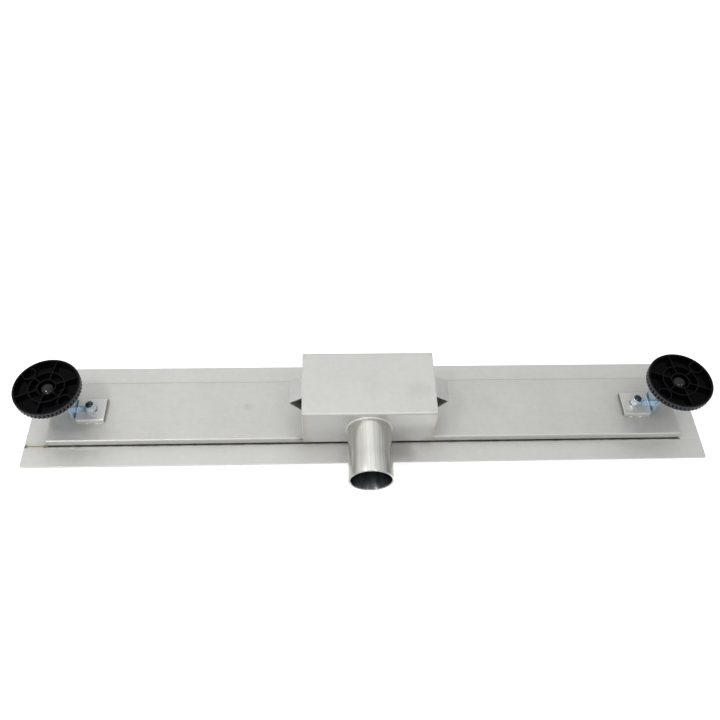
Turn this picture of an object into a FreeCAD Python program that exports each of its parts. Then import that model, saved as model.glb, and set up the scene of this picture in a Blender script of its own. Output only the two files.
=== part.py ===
import FreeCAD
import Part
import math
import os

from FreeCAD import Vector

os.makedirs("parts", exist_ok=True)

# Sizes are in millimetres. X runs along the channel, the outlet points to -Y and Z is up from the trap's underside.

# channel, one folded tray with an upstand above the flange
channel_length = 800.0
channel_width = 87.0
channel_depth = 30.0
channel_sheet = 1.5
channel_bend = 1.0
flange_above_floor = 10.6
flange_end_margin = 27.0
flange_side_margin = 28.6
flange_sheet = 1.2
flange_corner = 3.0

# trap box below the middle of the channel
trap_length = 162.0
trap_height = 60.3
trap_sheet = 1.5
trap_bend = 1.5
trap_lap = 5.2

# outlet pipe
outlet_radius = 27.0
outlet_neck_radius = 26.6
outlet_wall = 2.0
outlet_height = 35.0
outlet_reach = 69.0
outlet_sleeve = 28.0
outlet_taper = 2.0
weld_bead = 2.0

# water seal inside the trap box
weir_width = 60.0
weir_clearance = 5.0
weir_top = 36.0
weir_bend = 2.0
insert_clearance = 2.0
insert_seat = 6.5
insert_rim = 1.2
dip_clearance = 2.5
dip_wall = 1.5
dip_bottom = 14.0
seal_thickness = 1.0
seal_clearance = 0.5
strainer_seat = 2.5
strainer_clearance = 0.5
strainer_wall = 1.0
strainer_depth = 15.0
strainer_hole = 3.0

# cover, a folded plate on toed feet, with a slot for the water along both sides
cover_end_gap = 1.5
cover_side_slot = 7.0
cover_below_top = 0.5
cover_sheet = 2.0
cover_bend = 1.0
cover_skirt = 12.0
cover_toe_gap = 0.2
cover_foot_length = 30.0
cover_foot_count = 5
lifting_hole_radius = 4.0
lifting_hole_inset = 40.0

# anchor lugs on both ends of the trap box
lug_width = 29.0
lug_middle_y = -5.5
lug_sheet = 1.8
lug_bend = 1.5
lug_low_z = 1.4
lug_tip_z = 12.9
lug_tip_reach = 17.2
lug_high_z = 33.4

# slotted saddles under both ends of the channel
saddle_end_inset = 35.5
saddle_length = 34.0
saddle_width = 34.0
saddle_drop = 5.8
saddle_sheet = 1.5
saddle_bend = 1.0
saddle_slot_width = 9.0
saddle_slot_end = 9.7

# foot brackets
bracket_width = 28.0
bracket_sheet = 2.5
bracket_bend = 2.0
bracket_inset = 5.5
bracket_leg_gap = 2.0
slide_gap = 0.05

# clamp bolt and lock nut of each bracket
clamp_inset = 12.0
clamp_radius = 4.0
clamp_head_radius = 7.0
clamp_head = 1.2
clamp_nut_flats = 13.0
clamp_nut_hex = 7.5
clamp_nut_collar = 3.5
clamp_nut_collar_root = 6.3
clamp_nut_collar_end = 4.9
clamp_end_reach = 1.2

# levelling stud and its two nuts
stud_reach = 18.5
stud_radius = 5.0
stud_above_nut = 13.9
stud_in_disc = 9.6
stud_chamfer = 0.8
stud_hole_radius = 5.5
thread_clearance = 0.05
level_nut_flats = 17.0
level_nut_height = 8.0
nut_over_disc = 0.3

# foot discs
disc_radius = 40.0
disc_rim_height = 9.0
disc_bottom = 1.5
disc_rim_wall = 3.0
disc_plate = 2.5
disc_boss_radius = 16.0
disc_boss_height = 6.1
disc_edge = 0.8
rib_thickness = 1.4
rib_recess = 0.8
rib_ring_gap = 1.7
rib_count = 6
rib_phase = 38.0
hub_outer_radius = 11.5
hub_inner_radius = 10.0
hub_recess = 1.0
dome_radius = 9.4
dome_recess = 1.3
well_inset = 8.5
well_outer_radius = 8.5
well_inner_radius = 7.1
notch_count = 52
notch_radius = 1.5
notch_depth = 1.2
notch_margin = 1.2

# heights that follow from the sizes above
floor_z = trap_height
flange_z = floor_z + flange_above_floor
top_z = floor_z + channel_depth
seat_z = floor_z + channel_sheet
saddle_face_z = floor_z - saddle_drop
disc_top = disc_bottom + disc_rim_height
boss_top = disc_top + disc_boss_height
lower_nut_z = boss_top + nut_over_disc
leg_z = lower_nut_z + level_nut_height + slide_gap
upper_nut_z = leg_z + bracket_sheet + slide_gap
stud_top = upper_nut_z + level_nut_height + stud_above_nut

# radii of the round pieces round the drain hole, from the room that the cover's skirts leave
insert_rim_radius = channel_width / 2 - channel_sheet - cover_side_slot - cover_sheet - insert_clearance
opening_radius = insert_rim_radius - insert_seat
seal_inner_radius = opening_radius + seal_clearance
dip_radius = opening_radius - dip_clearance
strainer_rim_radius = dip_radius + strainer_seat

# places of the foot's pieces along the channel, from the channel's end
saddle_outer_x = channel_length / 2 - saddle_end_inset
saddle_inner_x = saddle_outer_x - saddle_length
bracket_inner_x = saddle_inner_x + bracket_inset
bracket_outer_x = saddle_outer_x + bracket_leg_gap + bracket_sheet
clamp_x = bracket_inner_x + clamp_inset
stud_x = bracket_outer_x + stud_reach

# radii of the foot disc's wells and of the ring rib inside them
well_middle_radius = disc_radius - well_inset
rib_ring_radius = well_middle_radius - well_outer_radius - rib_ring_gap


def block(x_low, x_high, y_low, y_high, z_low, z_high):
    corner = Vector(x_low, y_low, z_low)
    return Part.makeBox(x_high - x_low, y_high - y_low, z_high - z_low, corner)


def upright(radius, x, y, z_low, z_high):
    return Part.makeCylinder(radius, z_high - z_low, Vector(x, y, z_low))


def ring(outer, inner, x, y, z_low, z_high):
    return upright(outer, x, y, z_low, z_high).cut(upright(inner, x, y, z_low, z_high))


def is_upright(edge):
    low, high = edge.Vertexes[0].Point, edge.Vertexes[-1].Point
    return abs(low.x - high.x) < 1e-6 and abs(low.y - high.y) < 1e-6


def rounded_plate(length, width, corner, z_low, z_high):
    plate = block(-length / 2, length / 2, -width / 2, width / 2, z_low, z_high)
    return plate.makeFillet(corner, [e for e in plate.Edges if is_upright(e)])


# A tray as a folded and corner-welded sheet leaves it: rounded at the bottom and upright edges, sharp at the top.
def rounded_tray(length, width, corner, z_low, z_high):
    tray = block(-length / 2, length / 2, -width / 2, width / 2, z_low, z_high)
    edges = [e for e in tray.Edges if is_upright(e) or e.BoundBox.ZMax < z_low + 1e-6]
    return tray.makeFillet(corner, edges)


def turned(profile, x, y, z):
    points = [Vector(x + r, y, z + h) for r, h in profile]
    face = Part.Face(Part.makePolygon(points + [points[0]]))
    return face.revolve(Vector(x, y, z), Vector(0, 0, 1), 360)


def in_plane(plane, a, b, c):
    if plane == "XZ":
        return Vector(a, c, b)
    if plane == "YZ":
        return Vector(c, a, b)
    return Vector(a, b, c)


# Each bend of a folded strip as its centre, its two tangent points and the side it turns to.
def bends_of(points, radius):
    bends = []
    for before, corner, after in zip(points, points[1:], points[2:]):
        along = (corner - before).normalize()
        onward = (after - corner).normalize()
        side = math.copysign(1.0, along.cross(onward).z)
        half_turn = along.getAngle(onward) / 2
        setback = radius * math.tan(half_turn)
        first = corner - along * setback
        last = corner + onward * setback
        centre = first + Vector(-along.y, along.x, 0) * side * radius
        bends.append((centre, first, last, side))
    return bends


# One face of the strip: its straight runs and arcs, offset from the middle line to the left by the given distance.
def strip_side(points, bends, radius, offset):
    start_way = (points[1] - points[0]).normalize()
    end_way = (points[-1] - points[-2]).normalize()
    path = [points[0] + Vector(-start_way.y, start_way.x, 0) * offset]
    for centre, first, last, side in bends:
        scale = (radius - side * offset) / radius
        start = centre + (first - centre) * scale
        end = centre + (last - centre) * scale
        middle = centre + ((first - centre) + (last - centre)).normalize() * radius * scale
        path.append((start, middle, end))
    path.append(points[-1] + Vector(-end_way.y, end_way.x, 0) * offset)
    return path


# A strip of sheet folded along a middle line in one plane and extruded across it, with true inner and outer bend radii.
def folded_strip(plane, line, sheet, inner_bend, low, high):
    points = [Vector(a, b, 0) for a, b in line]
    radius = inner_bend + sheet / 2
    bends = bends_of(points, radius)

    def lift(point):
        return in_plane(plane, point.x, point.y, low)

    edges = []
    ends = []
    for offset in (sheet / 2, -sheet / 2):
        path = strip_side(points, bends, radius, offset)
        here = path[0]
        for start, middle, end in path[1:-1]:
            edges.append(Part.makeLine(lift(here), lift(start)))
            edges.append(Part.Arc(lift(start), lift(middle), lift(end)).toShape())
            here = end
        edges.append(Part.makeLine(lift(here), lift(path[-1])))
        ends.append((path[0], path[-1]))
    for left, right in zip(*ends):
        edges.append(Part.makeLine(lift(left), lift(right)))
    wire = Part.Wire(Part.__sortEdges__(edges))
    return Part.Face(wire).extrude(in_plane(plane, 0, 0, high - low))


def hex_nut(flats, height, bore, x, z):
    corner = flats / math.sqrt(3)
    points = [
        Vector(x + corner * math.cos(math.radians(a)), corner * math.sin(math.radians(a)), z)
        for a in range(0, 361, 60)
    ]
    prism = Part.Face(Part.makePolygon(points)).extrude(Vector(0, 0, height))
    face = 0.475 * flats
    slope = (corner - face) * math.tan(math.radians(30))
    profile = [(0, 0), (face, 0), (corner, slope), (corner, height - slope), (face, height), (0, height)]
    return prism.common(turned(profile, x, 0, z)).cut(upright(bore, x, 0, z, z + height))


def channel_tray():
    outer_bend = channel_bend + channel_sheet
    tray = rounded_tray(channel_length, channel_width, outer_bend, floor_z, top_z)
    inside_length = channel_length - 2 * channel_sheet
    inside_width = channel_width - 2 * channel_sheet
    tray = tray.cut(rounded_tray(inside_length, inside_width, channel_bend, seat_z, top_z + 5))
    return tray.cut(upright(opening_radius, 0, 0, floor_z - 1, seat_z + 1))


# The flange is four strips butt-welded round the tray: two run its whole length, and two close its ends between them.
def flange_strip(side):
    length = channel_length + 2 * flange_end_margin
    width = channel_width + 2 * flange_side_margin
    top = flange_z + flange_sheet
    sheet = rounded_plate(length, width, flange_corner, flange_z, top)
    inner = side * channel_width / 2
    outer = side * width
    return sheet.common(block(-length, length, min(inner, outer), max(inner, outer), flange_z, top))


def flange_end():
    half = channel_width / 2
    low_x = channel_length / 2
    return block(low_x, low_x + flange_end_margin, -half, half, flange_z, flange_z + flange_sheet)


# The trap box is one sheet folded up at the front and back, which laps the channel's walls, and two welded end plates.
def trap_box():
    half = channel_width / 2
    middle = half + trap_sheet / 2
    bottom = trap_sheet / 2
    lap_z = floor_z + trap_lap
    line = [(-middle, lap_z), (-middle, bottom), (middle, bottom), (middle, lap_z)]
    box = folded_strip("YZ", line, trap_sheet, trap_bend, -trap_length / 2, trap_length / 2)
    mouth = Part.makeCylinder(outlet_neck_radius, 10, Vector(0, -half - 8, outlet_height), Vector(0, 1, 0))
    return box.cut(mouth)


def trap_end():
    half = channel_width / 2
    end = block(trap_length / 2 - trap_sheet, trap_length / 2, -half, half, trap_sheet, floor_z)
    low = [e for e in end.Edges if e.BoundBox.ZMax < trap_sheet + 1e-6 and e.BoundBox.YLength < 1e-6]
    return end.makeFillet(trap_bend, low)


def outlet_pipe():
    root = channel_width / 2
    end = root + trap_sheet + outlet_reach
    sleeve = end - outlet_sleeve
    bore = outlet_neck_radius - outlet_wall
    profile = [
        (bore, root),
        (outlet_neck_radius, root),
        (outlet_neck_radius, sleeve - outlet_taper),
        (outlet_radius, sleeve),
        (outlet_radius, end),
        (bore, end),
    ]
    pipe = turned(profile, 0, 0, 0)
    face = root + trap_sheet
    bead = Part.makeTorus(outlet_neck_radius, weld_bead, Vector(0, 0, face))
    bead = bead.cut(upright(2 * outlet_radius, 0, 0, face - 2 * weld_bead, face))
    bead = bead.cut(upright(outlet_neck_radius, 0, 0, face - 1, face + 2 * weld_bead))
    pipe = pipe.fuse(bead)
    pipe.rotate(Vector(0, 0, 0), Vector(1, 0, 0), 90)
    pipe.translate(Vector(0, 0, outlet_height))
    return pipe


# A folded plate round the pipe's mouth, so that water stands in the trap up to its top edge.
def weir_plate(box):
    wall = -channel_width / 2
    side = weir_width / 2 - trap_sheet / 2
    front = -dip_radius - weir_clearance - trap_sheet / 2
    line = [(-side, wall), (-side, front), (side, front), (side, wall)]
    return folded_strip("XY", line, trap_sheet, weir_bend, trap_sheet, weir_top).cut(box)


def trap_seal():
    return ring(insert_rim_radius, seal_inner_radius, 0, 0, seat_z, seat_z + seal_thickness)


# The rim and the dip tube that reaches below the weir's top edge.
def trap_insert():
    rim_z = seat_z + seal_thickness
    inner = dip_radius - dip_wall
    profile = [
        (inner, dip_bottom),
        (dip_radius, dip_bottom),
        (dip_radius, rim_z),
        (insert_rim_radius, rim_z),
        (insert_rim_radius, rim_z + insert_rim),
        (inner, rim_z + insert_rim),
    ]
    return turned(profile, 0, 0, 0)


def strainer_cup():
    rim_z = seat_z + seal_thickness + insert_rim
    outer = dip_radius - dip_wall - strainer_clearance
    inner = outer - strainer_wall
    bottom = rim_z - strainer_depth
    top = rim_z + strainer_wall
    profile = [
        (0, bottom),
        (outer, bottom),
        (outer, rim_z),
        (strainer_rim_radius, rim_z),
        (strainer_rim_radius, top),
        (inner, top),
        (inner, bottom + strainer_wall),
        (0, bottom + strainer_wall),
    ]
    holes = [upright(strainer_hole / 2, 0, 0, bottom - 1, bottom + 3)]
    for count, share in ((6, 0.4), (12, 0.78)):
        for n in range(count):
            angle = 2 * math.pi * n / count
            x = share * inner * math.cos(angle)
            y = share * inner * math.sin(angle)
            holes.append(upright(strainer_hole / 2, x, y, bottom - 1, bottom + 3))
    return turned(profile, 0, 0, 0).cut(Part.makeCompound(holes))


# The blank is cut away between the feet, so that the folded skirt stays short there and water runs under it.
def cover():
    half_length = channel_length / 2 - channel_sheet - cover_end_gap
    wall = channel_width / 2 - channel_sheet
    side = wall - cover_side_slot - cover_sheet / 2
    toe = wall - channel_bend - cover_toe_gap
    top = top_z - cover_below_top
    upper = top - cover_sheet / 2
    lower = seat_z + cover_sheet / 2
    line = [(-toe, lower), (-side, lower), (-side, upper), (side, upper), (side, lower), (toe, lower)]
    plate = folded_strip("YZ", line, cover_sheet, cover_bend, -half_length, half_length)
    step = (2 * half_length - cover_foot_length) / (cover_foot_count - 1)
    cuts = []
    for n in range(cover_foot_count - 1):
        low = -half_length + cover_foot_length + n * step
        high = low + step - cover_foot_length
        cuts.append(block(low, high, -wall, wall, seat_z - 1, top - cover_skirt))
    for x in (lifting_hole_inset - half_length, half_length - lifting_hole_inset):
        cuts.append(upright(lifting_hole_radius, x, 0, top - 5, top + 1))
    return plate.cut(Part.makeCompound(cuts))


# A bent strip whose two ends meet the box end, so that it makes a closed loop with it.
def anchor_lug():
    wall = trap_length / 2
    tip = Vector(wall + lug_tip_reach, lug_tip_z, 0)
    low = Vector(wall, lug_low_z, 0)
    high = Vector(wall, lug_high_z, 0)
    inward = 4.0
    start = low + (low - tip).normalize() * inward
    end = high + (high - tip).normalize() * inward
    line = [(p.x, p.y) for p in (start, tip, end)]
    low_y = lug_middle_y - lug_width / 2
    strip = folded_strip("XZ", line, lug_sheet, lug_bend, low_y, low_y + lug_width)
    return strip.cut(block(wall - 20, wall, low_y - 1, low_y + lug_width + 1, -20, floor_z))


def saddle():
    side = (saddle_width - saddle_sheet) / 2
    plate = saddle_face_z + saddle_sheet / 2
    line = [(-side, floor_z), (-side, plate), (side, plate), (side, floor_z)]
    strip = folded_strip("YZ", line, saddle_sheet, saddle_bend, saddle_inner_x, saddle_outer_x)
    half = saddle_slot_width / 2
    round_x = saddle_inner_x + saddle_slot_end + half
    slot = block(round_x, saddle_outer_x + 1, -half, half, saddle_face_z - 1, saddle_face_z + 3)
    slot = slot.fuse(upright(half, round_x, 0, saddle_face_z - 1, saddle_face_z + 3))
    return strip.cut(slot)


# The Z-shaped bracket: its upper leg slides in the saddle and its round-ended lower leg holds the stud.
def foot_bracket():
    upper = saddle_face_z + saddle_sheet + slide_gap + bracket_sheet / 2
    lower = leg_z + bracket_sheet / 2
    upright_x = bracket_outer_x - bracket_sheet / 2
    half = bracket_width / 2
    tip = stud_x + half
    line = [(bracket_inner_x, upper), (upright_x, upper), (upright_x, lower), (tip, lower)]
    strip = folded_strip("XZ", line, bracket_sheet, bracket_bend, -half, half)
    outline = block(bracket_inner_x - 1, stud_x, -half, half, 0, floor_z)
    outline = outline.fuse(upright(half, stud_x, 0, 0, floor_z)).removeSplitter()
    strip = strip.common(outline)
    strip = strip.cut(upright(clamp_radius, clamp_x, 0, upper - 3, upper + 3))
    return strip.cut(upright(stud_hole_radius, stud_x, 0, lower - 3, lower + 3))


def clamp_nut_end():
    return saddle_face_z - slide_gap - clamp_nut_hex - clamp_nut_collar


def clamp_bolt():
    seat = saddle_face_z + saddle_sheet + slide_gap + bracket_sheet
    shank = upright(clamp_radius, clamp_x, 0, clamp_nut_end() - clamp_end_reach, seat)
    return shank.fuse(upright(clamp_head_radius, clamp_x, 0, seat, seat + clamp_head)).removeSplitter()


def lock_nut():
    hex_z = clamp_nut_end() + clamp_nut_collar
    body = hex_nut(clamp_nut_flats, clamp_nut_hex, clamp_radius, clamp_x, hex_z)
    profile = [
        (clamp_radius, 0),
        (clamp_nut_collar_end, 0),
        (clamp_nut_collar_end + 0.9, 0.9),
        (clamp_nut_collar_root, clamp_nut_collar),
        (clamp_radius, clamp_nut_collar),
    ]
    return body.fuse(turned(profile, clamp_x, 0, clamp_nut_end())).removeSplitter()


def foot_stud():
    bottom = boss_top - stud_in_disc
    height = stud_top - bottom
    tip = stud_radius - stud_chamfer
    profile = [(0, 0), (tip, 0), (stud_radius, stud_chamfer), (stud_radius, height - stud_chamfer), (tip, height), (0, height)]
    return turned(profile, stud_x, 0, bottom)


def level_nut(z):
    return hex_nut(level_nut_flats, level_nut_height, stud_radius + thread_clearance, stud_x, z)


# The disc's solid of revolution: rim, plate, boss on top, and the hub cup with its dome underneath.
def disc_body():
    under = disc_rim_height - disc_plate
    inner = disc_radius - disc_rim_wall
    top = disc_rim_height + disc_boss_height
    profile = [
        (0, under),
        (hub_inner_radius, under),
        (hub_inner_radius, hub_recess),
        (hub_outer_radius, hub_recess),
        (hub_outer_radius, under),
        (inner, under),
        (inner, 0),
        (disc_radius - disc_edge, 0),
        (disc_radius, disc_edge),
        (disc_radius, disc_rim_height - disc_edge),
        (disc_radius - disc_edge, disc_rim_height),
        (disc_boss_radius, disc_rim_height),
        (disc_boss_radius, top - disc_edge),
        (disc_boss_radius - disc_edge, top),
        (0, top),
    ]
    body = turned(profile, 0, 0, 0)
    dome = Part.makeSphere(dome_radius, Vector(0, 0, dome_radius + dome_recess))
    return body.fuse(dome.cut(upright(2 * disc_radius, 0, 0, under + 1, 5 * disc_rim_height)))


def disc_ribs():
    under = disc_rim_height - disc_plate
    outer = disc_radius - disc_rim_wall
    half = rib_thickness / 2
    ribs = [ring(rib_ring_radius + half, rib_ring_radius - half, 0, 0, rib_recess, under)]
    for n in range(rib_count):
        rib = block(hub_outer_radius - 0.3, outer + 0.5, -half, half, rib_recess, under)
        rib.rotate(Vector(0, 0, 0), Vector(0, 0, 1), rib_phase + n * 360 / rib_count)
        ribs.append(rib)
    return ribs


def foot_disc():
    under = disc_rim_height - disc_plate
    disc = disc_body().fuse(disc_ribs())
    outer = disc_radius - disc_rim_wall
    for n in range(2):
        angle = math.radians(rib_phase + 180 * n)
        x = well_middle_radius * math.cos(angle)
        y = well_middle_radius * math.sin(angle)
        well = upright(well_outer_radius, x, y, rib_recess, under)
        disc = disc.fuse(well.common(upright(outer + 0.5, 0, 0, rib_recess, under)))
        disc = disc.cut(upright(well_inner_radius, x, y, -1, under).common(upright(outer, 0, 0, -1, under)))
    notches = []
    for n in range(notch_count):
        angle = 2 * math.pi * n / notch_count
        reach = disc_radius + notch_radius - notch_depth
        x = reach * math.cos(angle)
        y = reach * math.sin(angle)
        notches.append(upright(notch_radius, x, y, notch_margin, 2 * disc_rim_height))
    disc = disc.cut(Part.makeCompound(notches))
    stud_bottom = disc_rim_height + disc_boss_height - stud_in_disc
    seat = upright(stud_radius, 0, 0, stud_bottom, 3 * disc_rim_height)
    disc = disc.removeSplitter().cut(seat)
    disc.translate(Vector(stud_x, 0, disc_bottom))
    return disc


def one_solid(name, shape):
    if len(shape.Solids) != 1 or not shape.isValid():
        raise ValueError(name + " is not one valid solid")
    return shape.Solids[0]


trap = trap_box()
middle_pieces = {
    "channel_tray": channel_tray(),
    "flange_front": flange_strip(-1),
    "flange_back": flange_strip(1),
    "trap_box": trap,
    "outlet_pipe": outlet_pipe(),
    "weir_plate": weir_plate(trap),
    "trap_seal": trap_seal(),
    "trap_insert": trap_insert(),
    "strainer_cup": strainer_cup(),
    "cover": cover(),
}
end_pieces = {
    "trap_end": trap_end(),
    "flange_end": flange_end(),
    "anchor_lug": anchor_lug(),
    "saddle": saddle(),
    "foot_bracket": foot_bracket(),
    "clamp_bolt": clamp_bolt(),
    "lock_nut": lock_nut(),
    "foot_stud": foot_stud(),
    "upper_nut": level_nut(upper_nut_z),
    "lower_nut": level_nut(lower_nut_z),
    "foot_disc": foot_disc(),
}

for name, shape in middle_pieces.items():
    one_solid(name, shape).exportStep("parts/" + name + ".step")

for name, shape in end_pieces.items():
    solid = one_solid(name, shape)
    solid.exportStep("parts/" + name + "_right.step")
    mirrored = solid.mirror(Vector(0, 0, 0), Vector(1, 0, 0))
    one_solid(name, mirrored).exportStep("parts/" + name + "_left.step")
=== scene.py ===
import bpy
import math
import numpy as np
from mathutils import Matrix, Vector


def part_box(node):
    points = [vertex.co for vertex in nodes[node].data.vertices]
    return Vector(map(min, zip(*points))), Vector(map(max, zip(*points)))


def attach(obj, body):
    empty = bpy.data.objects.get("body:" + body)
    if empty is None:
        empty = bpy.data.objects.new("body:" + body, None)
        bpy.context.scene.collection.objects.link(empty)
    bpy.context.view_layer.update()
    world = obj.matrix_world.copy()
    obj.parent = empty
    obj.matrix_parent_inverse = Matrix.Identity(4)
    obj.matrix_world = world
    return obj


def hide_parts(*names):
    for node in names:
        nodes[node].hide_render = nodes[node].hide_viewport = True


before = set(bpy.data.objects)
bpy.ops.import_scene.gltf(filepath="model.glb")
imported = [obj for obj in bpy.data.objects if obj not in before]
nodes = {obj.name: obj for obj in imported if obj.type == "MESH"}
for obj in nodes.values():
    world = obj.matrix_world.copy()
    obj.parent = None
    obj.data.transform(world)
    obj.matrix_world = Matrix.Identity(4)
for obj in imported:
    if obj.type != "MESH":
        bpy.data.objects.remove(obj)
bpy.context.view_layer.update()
sides = {"right": 1.0, "left": -1.0}


def middleX(node):
    low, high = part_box(node)
    return (low.x + high.x) / 2


trapLow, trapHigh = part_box("trap_box")
trayLow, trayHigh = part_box("channel_tray")
pipeLow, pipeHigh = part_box("outlet_pipe")
pipeZ = (pipeLow.z + pipeHigh.z) / 2
sharpAngle = math.radians(38)
print("frame loaded with", len(nodes), "nodes")


# Surfaces

# a grid of points (rows, columns, 3) as faces; wrapped rows or columns close on themselves, a cap fills
# an end
def gridFaces(grid, wrapRows=False, wrapColumns=True, caps=False):
    rows, columns = grid.shape[:2]
    index = np.arange(rows * columns).reshape(rows, columns)
    low = index if wrapRows else index[:-1]
    high = np.roll(index, -1, 0) if wrapRows else index[1:]
    if wrapColumns:
        quads = np.stack([low, np.roll(low, -1, 1), np.roll(high, -1, 1), high], -1)
    else:
        quads = np.stack([low[:, :-1], low[:, 1:], high[:, 1:], high[:, :-1]], -1)
    faces = quads.reshape(-1, 4).tolist()
    if caps:
        faces.append(index[0][::-1].tolist())
        faces.append(index[-1].tolist())
    return grid.reshape(-1, 3), faces


# several closed surfaces joined in one piece that rides on a body; the sign of each volume turns its
# faces out
def makePiece(name, surfaces, material, body, smooth=True):
    allPoints, allFaces, start = [], [], 0
    for points, faces in surfaces:
        corners = np.array([face[:3] for face in faces])
        a, b, c = points[corners[:, 0]], points[corners[:, 1]], points[corners[:, 2]]
        inward = np.einsum("ij,ij->i", a, np.cross(b, c)).sum() < 0
        allFaces += [[v + start for v in (face[::-1] if inward else face)] for face in faces]
        allPoints.append(points)
        start += len(points)
    mesh = bpy.data.meshes.new(name)
    mesh.from_pydata(np.concatenate(allPoints).tolist(), [], allFaces)
    mesh.validate()
    mesh.polygons.foreach_set("use_smooth", [smooth] * len(mesh.polygons))
    if smooth:
        mesh.set_sharp_from_angle(angle=sharpAngle)
    mesh.materials.append(material)
    piece = bpy.data.objects.new(name, mesh)
    bpy.context.collection.objects.link(piece)
    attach(piece, body)
    return piece


# Shader node groups

# the span that most values of a noise texture fall in
noiseSpan = (0.3, 0.7)


def newGroup(name, inputs, outputs):
    group = bpy.data.node_groups.new(name, "ShaderNodeTree")
    for label, kind, value in inputs:
        socket = group.interface.new_socket(label, in_out="INPUT", socket_type=kind)
        if value is not None:
            socket.default_value = value
    for label, kind in outputs:
        group.interface.new_socket(label, in_out="OUTPUT", socket_type=kind)
    return group, group.nodes.new("NodeGroupInput"), group.nodes.new("NodeGroupOutput")


def addNode(tree, kind, inputs=None, **settings):
    node = tree.nodes.new(kind)
    for key, value in settings.items():
        setattr(node, key, value)
    for key, value in (inputs or {}).items():
        if isinstance(value, bpy.types.NodeSocket):
            tree.links.new(value, node.inputs[key])
        else:
            node.inputs[key].default_value = value
    return node


def mathNode(tree, operation, first, second=0.0, clamp=False):
    node = addNode(tree, "ShaderNodeMath", {0: first, 1: second}, operation=operation, use_clamp=clamp)
    return node.outputs[0]


def rangeNode(tree, value, fromLow, fromHigh, toLow, toHigh):
    inputs = {"Value": value, "From Min": fromLow, "From Max": fromHigh, "To Min": toLow, "To Max": toHigh}
    return addNode(tree, "ShaderNodeMapRange", inputs).outputs[0]


def noiseNode(tree, position, scale, detail=2.0, distortion=0.0):
    inputs = {"Vector": position, "Scale": scale, "Detail": detail, "Distortion": distortion}
    return addNode(tree, "ShaderNodeTexNoise", inputs).outputs[0]


def vectorNode(tree, operation, first, second=(0.0, 0.0, 0.0)):
    return addNode(tree, "ShaderNodeVectorMath", {0: first, 1: second}, operation=operation).outputs[0]


def lengthNode(tree, vector):
    return addNode(tree, "ShaderNodeVectorMath", {0: vector}, operation="LENGTH").outputs["Value"]


# cloudy differences over the sheet: two sizes of noise, 0 to 1
def buildMottle():
    group, entry, leave = newGroup("mottle", [
        ("Position", "NodeSocketVector", None),
        ("Scale", "NodeSocketFloat", 20.0),
        ("Fine Share", "NodeSocketFloat", 0.35),
    ], [("Mask", "NodeSocketFloat")])
    position = entry.outputs["Position"]
    broad = noiseNode(group, position, entry.outputs["Scale"], 3.0)
    fine = noiseNode(group, position, mathNode(group, "MULTIPLY", entry.outputs["Scale"], 9.0), 2.0)
    inputs = {0: entry.outputs["Fine Share"], 2: broad, 3: fine}
    mixed = addNode(group, "ShaderNodeMix", inputs, data_type="FLOAT")
    group.links.new(rangeNode(group, mixed.outputs[0], *noiseSpan, 0.0, 1.0), leave.inputs["Mask"])
    return group


# fine rolling or brushing lines: noise stretched along one direction by the Stretch vector
def buildGrain():
    group, entry, leave = newGroup("grain", [
        ("Position", "NodeSocketVector", None),
        ("Stretch", "NodeSocketVector", (30.0, 900.0, 900.0)),
    ], [("Lines", "NodeSocketFloat")])
    stretched = vectorNode(group, "MULTIPLY", entry.outputs["Position"], entry.outputs["Stretch"])
    group.links.new(noiseNode(group, stretched, 1.0, 3.0), leave.inputs["Lines"])
    return group


# rounded edges, whose mask also carries the painted edge highlights: how far a bevelled normal leaves the
# true one, 0 on the flat and 1 on an edge
def buildEdge():
    flat, sharp = 0.995, 0.8
    group, entry, leave = newGroup("edge", [
        ("Radius", "NodeSocketFloat", 0.001),
    ], [("Mask", "NodeSocketFloat"), ("Rounded Normal", "NodeSocketVector")])
    bevel = addNode(group, "ShaderNodeBevel", {"Radius": entry.outputs["Radius"]}, samples=6)
    geometry = addNode(group, "ShaderNodeNewGeometry")
    inputs = {0: bevel.outputs[0], 1: geometry.outputs["Normal"]}
    turn = addNode(group, "ShaderNodeVectorMath", inputs, operation="DOT_PRODUCT")
    group.links.new(rangeNode(group, turn.outputs["Value"], flat, sharp, 0.0, 1.0), leave.inputs["Mask"])
    group.links.new(bevel.outputs[0], leave.inputs["Rounded Normal"])
    return group


# a heat tint, a stain or a painted shade: 1 inside a box of half size Reach about Centre, fading unevenly
# over Fade
def buildTint():
    group, entry, leave = newGroup("tint", [
        ("Position", "NodeSocketVector", None),
        ("Centre", "NodeSocketVector", (0.0, 0.0, 0.0)),
        ("Reach", "NodeSocketVector", (0.01, 0.01, 0.01)),
        ("Fade", "NodeSocketFloat", 0.008),
    ], [("Mask", "NodeSocketFloat")])
    position = entry.outputs["Position"]
    offset = vectorNode(group, "ABSOLUTE", vectorNode(group, "SUBTRACT", position, entry.outputs["Centre"]))
    beyond = vectorNode(group, "MAXIMUM", vectorNode(group, "SUBTRACT", offset, entry.outputs["Reach"]))
    wander = rangeNode(group, noiseNode(group, position, 90.0), *noiseSpan, 0.6, 1.4)
    distance = mathNode(group, "MULTIPLY", lengthNode(group, beyond), wander)
    share = mathNode(group, "DIVIDE", distance, entry.outputs["Fade"])
    group.links.new(mathNode(group, "SUBTRACT", 1.0, share, clamp=True), leave.inputs["Mask"])
    return group


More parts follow.
